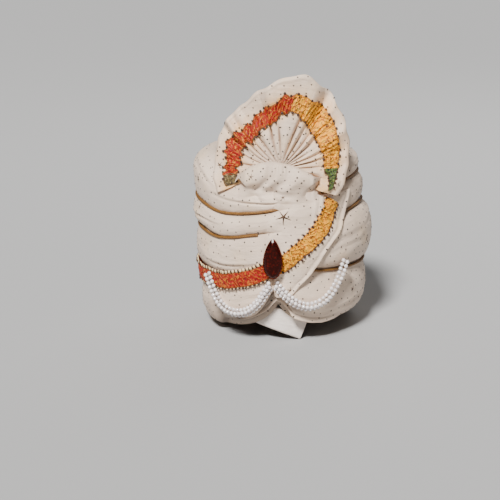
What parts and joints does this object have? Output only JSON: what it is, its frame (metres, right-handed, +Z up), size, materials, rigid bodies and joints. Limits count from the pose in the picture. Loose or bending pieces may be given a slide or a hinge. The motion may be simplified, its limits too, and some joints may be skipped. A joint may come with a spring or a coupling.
{
  "type": "tied turban",
  "caption": "Ready-tied turban of wound cream cloth with a pleated fan crest, woven braid trim, bead swags and a drop-shaped brooch; worn on the head.",
  "frame": {"origin": "middle of the head opening, on the plane that the hem rests on", "axes": "+Z up out of the crown, -Y towards the front with the brooch and the crest, +X towards the viewer's right"},
  "size_m": [0.2388, 0.2797, 0.353],
  "materials": {
    "cream_cloth": "soft sheen silk",
    "plain_cotton": "matte",
    "gold_cord": "metallic thread",
    "red_braid": "crinkled",
    "gold_braid": "crinkled",
    "green_braid": "crinkled",
    "brooch_metal": "polished",
    "garnet_glass": "cut and polished",
    "pearl": "pearl"
  },
  "bodies": {
    "root": {"wrap_base": "cream_cloth", "wrap_lower": "cream_cloth", "wrap_upper": "cream_cloth", "wrap_top": "cream_cloth", "crown": "cream_cloth", "front_drape": "cream_cloth", "crest_fan": "cream_cloth", "crest_roll": "cream_cloth", "head_band": "plain_cotton", "piping_upper": "gold_cord", "piping_middle": "gold_cord", "piping_lower": "gold_cord", "crest_braid_red": "red_braid", "crest_braid_gold": "gold_braid", "crest_braid_green": "green_braid", "drape_braid_red": "red_braid", "drape_braid_gold": "gold_braid", "brooch_setting": "brooch_metal", "brooch_stone": "garnet_glass", "bead_strand_left_1": "pearl", "bead_strand_left_2": "pearl", "bead_strand_left_3": "pearl", "bead_strand_right_1": "pearl", "bead_strand_right_2": "pearl", "bead_strand_right_3": "pearl"}
  },
  "joints": []
}
